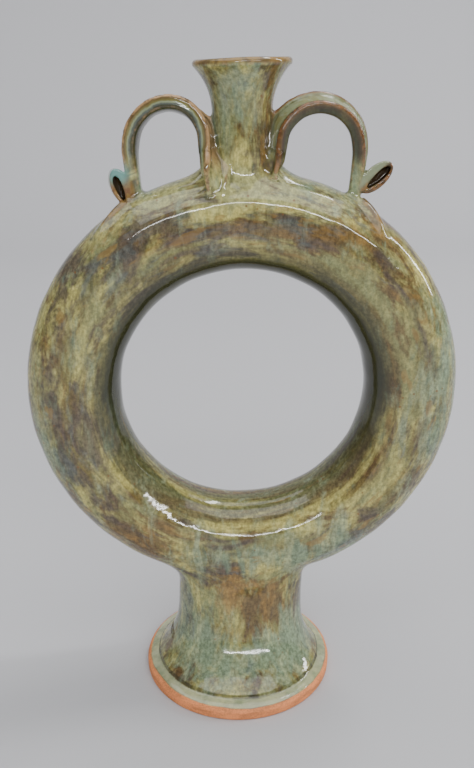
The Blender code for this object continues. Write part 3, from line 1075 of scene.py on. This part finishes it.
glaze = {
    "olive": (0.190, 0.156, 0.046),
    "sage": (0.235, 0.245, 0.100),
    "straw": (0.360, 0.325, 0.115),
    "brown": (0.125, 0.076, 0.030),
    "gold": (0.285, 0.165, 0.045),
    "rust": (0.200, 0.076, 0.022),
    # umber: brown glaze, and also painted shade inside the curls' openings
    "umber": (0.048, 0.026, 0.012),
    "dusk": (0.088, 0.066, 0.052),
    "slate": (0.105, 0.125, 0.118),
    "mist": (0.290, 0.345, 0.205),
    "lemon": (0.540, 0.485, 0.150),
    "cream": (0.520, 0.540, 0.330),
    "turquoise": (0.150, 0.400, 0.370),
    "verdigris": (0.150, 0.225, 0.145),
    "tan": (0.500, 0.300, 0.140),
    # near black: glaze pooled in hollows and the groove, and painted shade on the inner wall, under the
    # straps and at the ring's outer edge
    "deep": (0.022, 0.025, 0.010),
    "clay": (0.880, 0.300, 0.100),
    "roughness": 0.060,
    "clayRoughness": 0.72,
    "ior": 1.58,
    "bump": 0.45,
    "bumpDepth": 0.0006,
    "clayTop": 0.0086,         # height of the glaze's edge over the bare clay
    "rollTop": 0.0112,
    "grooveTop": 0.0130,
    "warmPatches": [
        (0, 344, 90, 14, 0.6), (60, 345, 40, 16, 0.3), (-9, 82, 13, 22, 1.4), (20, 70, 14, 20, 1.2),
        (-70, 128, 34, 16, 0.9), (100, 300, 22, 36, 0.4), (-128, 240, 14, 60, 0.4), (60, 118, 34, 14, 0.6),
        (17, 416, 6, 30, 1.0), (14, 392, 8, 10, 0.4)],
    "duskPatches": [
        (-85, 320, 34, 22, 0.7), (20, 336, 70, 9, 0.25), (-120, 200, 22, 60, 0.6), (30, 350, 50, 10, 0.8),
        (-48, 396, 9, 8, 0.5), (128, 200, 18, 70, 0.5), (-30, 96, 30, 12, 0.6), (-6, 22, 30, 12, 0.3),
        (92, 122, 36, 20, 0.6), (-50, 346, 40, 10, 0.6), (-40, 60, 8, 24, 0.7), (42, 70, 8, 24, 0.6)],
    "coolPatches": [
        (-132, 170, 22, 60, 0.6), (136, 250, 18, 80, 0.9), (56, 110, 50, 20, 0.9), (0, 110, 50, 9, 0.7),
        (36, 36, 22, 26, 1.1), (-36, 40, 20, 26, 1.0), (-90, 250, 20, 50, 0.4), (-70, 372, 30, 14, 0.6),
        (-4, 416, 18, 28, 0.95), (0, 32, 42, 14, 0.9), (56, 374, 30, 10, 0.8)],
    # pale glaze, made stronger on the ring's top shoulder and inner bottom as painted light from above
    "paleAndLitPatches": [
        (0, 370, 60, 10, 1.9), (-60, 360, 30, 10, 1.5), (60, 362, 34, 10, 1.7), (0, 132, 90, 10, 0.6),
        (110, 320, 20, 24, 0.4), (-25, 384, 10, 10, 0.7), (4, 384, 24, 9, 1.1)],
}


marks = {                      # where the material's marks lie: heights in metres, other places as shares
    "onForm": 0.00025,         # a point counts as outside this near to the melted form,
    "facing": 0.3,             # and when its face turns the form's way
    "ringFade": 0.004,
    "ringFrom": (0.088, 0.020),             # start and length of a change
    "ringTo": (-0.004, 0.008),              # from the ring's top
    "lipFrom": (-0.0034, 0.0008),           # from the neck's top
    "lipReach": 0.036,
    "footInside": 0.0012,
    "neckInside": 0.0006,
    "neckLip": 0.002,          # the inside starts this far under the neck's top
    "curlInside": (0.0003, 0.0005),
    "curlLip": 0.0008,
    "curlRim": (0.0034, 0.0016),            # towards the front from a curl's middle
    "leftCap": (0.0002, 0.0100, 0.0075),    # place beside and above the left curl's middle, and reach
    # painted highlight on the right curl's upper side: where it starts and how far it spreads across the curl
    "rightCapHighlight": (0.0012, 0.0030),
    "strapFrom": (0.376, 0.016),
    "strapFace": (0.45, 0.25),
    "strapEdge": (-0.72, 0.20),             # of the half width, counted inwards
    "shadeFrom": (0.60, 0.16),              # round the tube, from its outer edge to the inner wall
    "shadeRise": (-0.085, 0.10),            # from the ring's middle
}


def risen(value, key):
    # 0 up to the start of a named change and 1 beyond it
    start, length = marks[key]
    return softStep((value - start) / length)


def curlMarks(points):
    # the shares of the curls' clay, of their openings, which get painted shade, and of their front rims
    curls, inside, rim = np.zeros((3, len(points)))
    for key in ("left", "right"):
        near = nearCurl(key, points)
        back = curlPlaces(key, points[near])[2]
        behindLip = back > marks["curlLip"] - curl["width"] / 2
        curls[near] = touching(curlSolid(key, points[near]))
        inside[near] = curls[near] * (1 - risen(curlHollow(key, points[near]), "curlInside")) * behindLip
        rim[near] = curls[near] * (1 - inside[near]) * risen(-back, "curlRim")
    return curls, inside, rim


def capAndHighlightMark(points, curls):
    # pale glaze round the left curl's tip, and a painted highlight, pale mist, on the right curl's upper side
    x, y, z = points.T
    aside, above, reach = marks["leftCap"]
    capX, capZ = curlCentre("left").x + aside, curlCentre("left").z + above
    left = np.exp(-(((x - capX) / reach) ** 2 + ((z - capZ) / reach) ** 2) ** 2)
    return np.where(x < 0, left, curls * risen(curlPlaces("right", points)[1], "rightCapHighlight"))


def dress(mesh):
    points = pointsOf(mesh)
    here, slope = valueAndSlope(points)
    slope /= np.maximum(np.linalg.norm(slope, axis=1), 1e-9)[:, None]
    plain = np.empty(len(points) * 3)
    mesh.vertices.foreach_get("normal", plain)
    plain = plain.reshape(-1, 3)
    outside = (np.abs(here) < marks["onForm"]) & ((plain * slope).sum(1) > marks["facing"])
    normals = np.where(outside[:, None], slope, plain)
    pairs = edgesOf(mesh)
    x, y, z = points.T
    out = np.hypot(x, z - ringZ) - ringMid
    around = np.degrees(np.arctan2(np.abs(y) / ring["depth"], out / ring["across"])) / 180
    ringShare = np.exp(-(ringForm(points) / marks["ringFade"]) ** 2) * risen(z, "ringFrom")
    ringShare *= 1 - risen(z - ringTop, "ringTo")
    neckOut, neckHeight = neckPlace(points)
    inNeck = (boreSolid(points) < marks["neckInside"]) & (neckHeight < neck["height"] - marks["neckLip"])
    strapOn, strapOver, strapAside = nearRods(points, ("leftStrap", "rightStrap"))
    curls, curlShade, curlRim = curlMarks(points)
    values = {
        "bend": spreadOut(bending(points, normals, pairs), pairs, 2),
        "around": around,
        "ringShare": ringShare,
        "lip": risen(neckHeight - neck["height"], "lipFrom") * (neckOut < marks["lipReach"]),
        "inside": np.maximum(1.0 - outside, inNeck),
        "inFoot": (hollowSolid(points) < marks["footInside"]) & (z < ring["lift"]),
        "strapOn": strapOn * (1 - curls) * risen(z, "strapFrom"),
        "strapOver": strapOver * 0.5 + 0.5,
        "strapFace": strapOn * risen(strapOver, "strapFace") * risen(-strapAside, "strapEdge"),
        "rightSide": x > 0,
        "tails": nearRods(points, ("leftTail", "rightTail"))[0],
        "curlShade": curlShade,
        "curlRim": curlRim,
        "capAndHighlight": capAndHighlightMark(points, curls),
        # painted shade on the ring's inner wall, strongest towards the top
        "shade": risen(around, "shadeFrom") * risen(z - ringZ, "shadeRise") * ringShare,
    }
    for name in ("warm", "dusk", "cool", "paleAndLit"):
        values[name] = patchMask(points, glaze[name + "Patches"])
    for name, numbers in values.items():
        kept = mesh.attributes.new(name, "FLOAT", "POINT")
        kept.data.foreach_set("value", np.asarray(numbers, np.float32))
    places = mesh.attributes.new("flow", "FLOAT_VECTOR", "POINT")
    places.data.foreach_set("vector", flowPlaces(points).astype(np.float32).ravel())
    mesh.polygons.foreach_set("use_smooth", np.ones(len(mesh.polygons), bool))
    mesh.normals_split_custom_set_from_vertices(normals.tolist())
    print("dressed:", round(float(outside.mean()) * 100, 1), "% of the points lie on the melted form")


# Glaze material

def glazeMaterial():
    material = bpy.data.materials.new("variegatedGlaze")
    material.use_nodes = True
    tree = material.node_tree
    shader = tree.nodes["Principled BSDF"]
    w = Wiring(tree)
    place = tree.nodes.new("ShaderNodeTexCoord").outputs["Object"]
    run = w.attribute("flow", "Vector")
    drip = w.moved(place, (0, 0, 0), (1, 1, 0.28))
    bend = w.attribute("bend")

    # slow clouds of olive and sage, drawn out round the ring
    clouds = w.noise(run, 42, 3, 0.55, 0.5)
    fine = w.noise(run, 125, 5, 0.68, 0.3)
    shade = w.plus(w.times(clouds, 0.50), w.times(fine, 0.50))
    colour = w.stops(shade, ((0.36, "brown"), (0.45, "olive"), (0.53, "sage"),
                             (0.63, "straw")))

    # bands of glaze round the tube, from the outer edge to the inner wall; the near black at both ends is
    # painted shade
    wander = w.swing(0.30, w.moved(run, (2, 4, 1)), 30, 4, 0.6)
    glazeBandsAndShade = w.stops(w.plus(w.attribute("around"), wander), (
        (0.02, "deep"), (0.12, "olive"), (0.22, "straw"), (0.30, "sage"),
        (0.38, "dusk"), (0.47, "olive"), (0.56, "sage"), (0.66, "brown"),
        (0.76, "dusk"), (0.90, "deep")))
    colour = w.over(colour, "ringShare", 0.50, glazeBandsAndShade)

    def cloudOf(name, offset, scale, bite, soft, space):
        # a colour that shows where its patch and its own noise are strong together
        spots = w.noise(w.moved(space, offset), scale, 5, 0.62, 0.5)
        level = w.plus(spots, w.times(w.attribute(name), 0.20))
        return w.ramp(level, bite, bite + soft)

    # clouds of glaze where the patches lie; the pale ones also carry painted light on the upward faces
    for name, offset, scale, bite, soft, space, share, tone in (
            ("paleAndLit", (5, 3, 9), 60, 0.47, 0.20, run, 0.85, "lemon"),
            ("paleAndLit", (2, 8, 3), 90, 0.58, 0.20, drip, 0.40, "mist"),
            ("warm", (3, 1, 7), 70, 0.53, 0.15, run, 0.90, "brown"),
            ("warm", (8, 5, 2), 130, 0.58, 0.20, run, 0.70, "gold"),
            ("dusk", (1, 9, 4), 66, 0.54, 0.14, run, 0.85, "dusk"),
            ("cool", (6, 2, 5), 70, 0.54, 0.20, drip, 0.75, "mist"),
            ("cool", (4, 7, 1), 120, 0.58, 0.18, drip, 0.60, "verdigris"),
            ("dusk", (7, 3, 8), 110, 0.58, 0.18, run, 0.60, "slate")):
        colour = w.blend(w.times(cloudOf(name, offset, scale, bite, soft, space), share), colour, glaze[tone])

    # hairs of light and dark glaze, and grain
    grit = w.noise(place, 900, 4, 0.7)
    hairs = w.ramp(w.noise(drip, 420, 3, 0.6), 0.34, 0.66, 0.82, 1.18)
    grain = w.ramp(w.noise(place, 360, 4, 0.7), 0.32, 0.68, 0.72, 1.28)
    colour = w.blend(1.0, colour, w.grey(w.times(hairs, grain)), "MULTIPLY")

    # rust specks and streaks
    specks = w.times(w.ramp(w.cells(place, 190), 0.22, 0.10), w.ramp(w.noise(place, 60, 2), 0.55, 0.66))
    streaks = w.ramp(w.noise(w.moved(run, (9, 2, 6)), 130, 3, 0.5), 0.63, 0.70)
    colour = w.blend(w.times(specks, 0.75), colour, glaze["rust"])
    colour = w.blend(w.times(w.times(streaks, w.attribute("ringShare")), 0.50), colour, glaze["gold"])

    # straps: painted shade, near black, under the arches, running to brown or rust at their beads, and a pale
    # outer face
    over = w.plus(w.attribute("strapOver"), w.swing(0.35, place, 120, 4, 0.6))
    leftStrapToneAndShade = w.stops(over, ((0.24, "deep"), (0.40, "slate"), (0.50, "mist"),
                              (0.62, "olive"), (0.76, "brown"), (0.96, "tan")))
    rightStrapToneAndShade = w.stops(over, ((0.42, "deep"), (0.68, "umber"), (0.88, "brown"),
                               (1.00, "rust")))
    rightStrapToneAndShade = w.over(rightStrapToneAndShade, "strapFace", 0.9, w.mottle(fine, 0.4, 0.6, "sage", "mist"))
    right = w.attribute("rightSide")
    colour = w.over(colour, "strapOn", 0.88, w.blend(right, leftStrapToneAndShade, rightStrapToneAndShade))
    # painted shade: near black on the ring's inner wall, towards the top
    colour = w.over(colour, "shade", 0.96, glaze["deep"])

    # the glaze runs thin over edges and thick in hollows; the dark inside the curls' openings is painted
    # shade, and the right curl's pale top a painted highlight
    uneven = w.swing(0.20, place, 300)
    thin = w.ramp(w.plus(bend, uneven), 0.12, 0.30)
    edgeTone = w.mottle(w.noise(place, 210, 4, 0.6), 0.44, 0.60, "tan", "brown")
    rusty = w.mottle(w.noise(place, 340, 3, 0.6), 0.44, 0.58, "umber", "rust")
    edgeTone = w.blend(w.times(w.times(right, w.attribute("strapOn")), 0.85), edgeTone, rusty)
    colour = w.blend(w.times(thin, 0.90), colour, edgeTone)
    onTail = w.times(w.ramp(w.plus(w.attribute("tails"), uneven), 0.35, 0.9), 0.85)
    colour = w.blend(onTail, colour, w.mottle(w.noise(place, 200), 0.42, 0.60, "brown", "gold"))
    colour = w.blend(w.times(w.ramp(bend, -0.03, -0.16), 0.55), colour, glaze["deep"])
    rimTone = w.mottle(w.noise(place, 260), 0.42, 0.60, "rust", "gold")
    colour = w.over(colour, "curlRim", 0.80, w.blend(right, rimTone, rusty))
    # painted shade: dark umber inside the curls' openings
    colour = w.over(colour, "curlShade", 0.92, glaze["umber"])
    # turquoise glaze at the left curl's tip; pale mist on the right curl's upper side is a painted highlight
    onCapAndHighlight = w.times(w.attribute("capAndHighlight"), w.ramp(w.attribute("curlShade"), 0.6, 0.2))
    capToneAndHighlight = w.blend(right, glaze["turquoise"], glaze["mist"])
    colour = w.blend(w.times(onCapAndHighlight, 0.85), colour, capToneAndHighlight)
    colour = w.over(colour, "lip", 0.85, w.mottle(w.noise(place, 150), 0.42, 0.60, "gold", "brown"))
    colour = w.over(colour, "inside", 0.9, glaze["brown"])

    # the foot: bare clay, a rolled pale edge of glaze, a dark groove over it
    split = tree.nodes.new("ShaderNodeSeparateXYZ")
    tree.links.new(place, split.inputs[0])
    level = w.plus(split.outputs["Z"], w.swing(0.0016, place, 45, 2))
    roll = w.times(w.ramp(level, glaze["clayTop"], glaze["clayTop"] + 0.0006),
                   w.ramp(level, glaze["rollTop"] + 0.0008, glaze["rollTop"]))
    groove = w.times(w.ramp(level, glaze["rollTop"], glaze["rollTop"] + 0.0006),
                     w.ramp(level, glaze["grooveTop"] + 0.001, glaze["grooveTop"]))
    colour = w.blend(w.times(roll, 0.70), colour, w.mottle(w.noise(place, 90), 0.3, 0.6, "mist", "cream"))
    inGroove = w.times(groove, w.ramp(w.noise(place, 80), 0.3, 0.6, 0.25, 0.75))
    colour = w.blend(w.times(inGroove, 0.9), colour, glaze["deep"])
    bare = w.maths("MAXIMUM", w.ramp(level, glaze["clayTop"] + 0.0003, glaze["clayTop"] - 0.0001),
                   w.attribute("inFoot"))
    blush = w.plus(w.times(grit, 0.5), w.times(w.noise(w.moved(place, (0, 0, 0), (1, 1, 5)), 60, 3), 0.5))
    clayTone = w.blend(w.ramp(blush, 0.36, 0.62), tuple(c * 0.55 for c in glaze["clay"]), glaze["clay"])
    colour = w.blend(bare, colour, clayTone)
    w.put(shader.inputs["Base Color"], colour)

    gloss = w.ramp(w.noise(place, 90, 3), 0.3, 0.8, glaze["roughness"], glaze["roughness"] * 2.2)
    node = tree.nodes.new("ShaderNodeMix")
    w.put(node.inputs["Factor"], bare)
    w.put(node.inputs["A"], gloss)
    node.inputs["B"].default_value = glaze["clayRoughness"]
    w.put(shader.inputs["Roughness"], node.outputs["Result"])

    bump = tree.nodes.new("ShaderNodeBump")
    bump.inputs["Strength"].default_value = glaze["bump"]
    bump.inputs["Distance"].default_value = glaze["bumpDepth"]
    ripple = w.plus(w.times(w.noise(place, 75, 2, 0.4), 1.1), w.times(w.noise(place, 190, 2, 0.5), 0.30))
    w.put(bump.inputs["Height"], w.plus(ripple, w.times(w.times(grit, bare), 0.5)))
    w.put(shader.inputs["Normal"], bump.outputs["Normal"])
    shader.inputs["Metallic"].default_value = 0.0
    shader.inputs["IOR"].default_value = glaze["ior"]
    return material


glazed = glazeMaterial()
jug = meltedJug(glazed)
dress(jug.data)
jug.data.materials.clear()
jug.data.materials.append(glazed)
triangles = sum(len(p.vertices) - 2 for p in jug.data.polygons)
print("skin:", len(jug.data.vertices), "points,", triangles, "triangles")
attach(jug, "root")
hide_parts("ring_jug")


# Stage: a pale floor that curves up behind, strip lights and a soft overhead, the camera.

stage = {
    "wide": 4.0,
    "front": -3.0,
    "back": 1.6,
    "curve": 0.9,
    "high": 3.2,
    "colour": (0.52, 0.52, 0.54),
    "roughness": 0.9,
}


def makeStage():
    profile = [(stage["front"], 0.0), (stage["back"], 0.0)]
    steps = 16
    for k in range(1, steps + 1):
        turn = pi / 2 * k / steps
        profile.append((stage["back"] + stage["curve"] * sin(turn), stage["curve"] * (1 - cos(turn))))
    profile.append((stage["back"] + stage["curve"], stage["high"]))
    points = [(side * stage["wide"], y, z) for y, z in profile for side in (-1, 1)]
    faces = [(2 * k, 2 * k + 1, 2 * k + 3, 2 * k + 2) for k in range(len(profile) - 1)]
    mesh = bpy.data.meshes.new("paperSweep")
    mesh.from_pydata(points, [], faces)
    mesh.polygons.foreach_set("use_smooth", [True] * len(faces))
    paper = bpy.data.materials.new("palePaper")
    paper.use_nodes = True
    matt = paper.node_tree.nodes["Principled BSDF"].inputs
    matt["Base Color"].default_value = (*stage["colour"], 1)
    matt["Roughness"].default_value = stage["roughness"]
    mesh.materials.append(paper)
    sweep = bpy.data.objects.new("paperSweep", mesh)
    bpy.context.scene.collection.objects.link(sweep)


middle = (0, 0, 0.23)
lights = {                     # place, target, width, height and watts
    "frontStrip": ((1.1, -6.0, 2.35), middle, 7.2, 0.23, 250),
    "rightStrip": ((4.2, 0.7, 2.4), middle, 0.3, 3.0, 75),
    "overheadSoft": ((0, -0.4, 3.4), (0, -0.4, 0), 5.0, 4.0, 125),
    "overheadStrip": ((1.1, 0.7, 2.6), middle, 1.0, 0.30, 20),
}
studio = {"colour": (0.90, 0.92, 0.95), "strength": 0.22}
view = {"place": (-0.02665, -0.54833, 0.44071), "pitch": 20.72, "turn": 2.33, "focal": 39.07, "film": 36}


def softLight(name, place, target, wide, tall, watts):
    data = bpy.data.lights.new(name, "AREA")
    data.shape = "RECTANGLE"
    data.size, data.size_y = wide, tall
    data.energy = watts
    lamp = bpy.data.objects.new(name, data)
    lamp.location = place
    lamp.rotation_euler = (Vector(target) - Vector(place)).to_track_quat("-Z", "Y").to_euler()
    bpy.context.scene.collection.objects.link(lamp)


makeStage()
for name, values in lights.items():
    softLight(name, *values)

world = bpy.data.worlds.new("studio")
bpy.context.scene.world = world
world.use_nodes = True
world.node_tree.nodes["Background"].inputs["Color"].default_value = (*studio["colour"], 1)
world.node_tree.nodes["Background"].inputs["Strength"].default_value = studio["strength"]

cameraData = bpy.data.cameras.new("camera")
camera = bpy.data.objects.new("camera", cameraData)
camera.location = view["place"]
camera.rotation_euler = (radians(90 - view["pitch"]), 0, radians(-view["turn"]))
cameraData.lens = view["focal"]
cameraData.sensor_width = view["film"]
cameraData.clip_start = 0.01
bpy.context.scene.collection.objects.link(camera)
bpy.context.scene.camera = camera
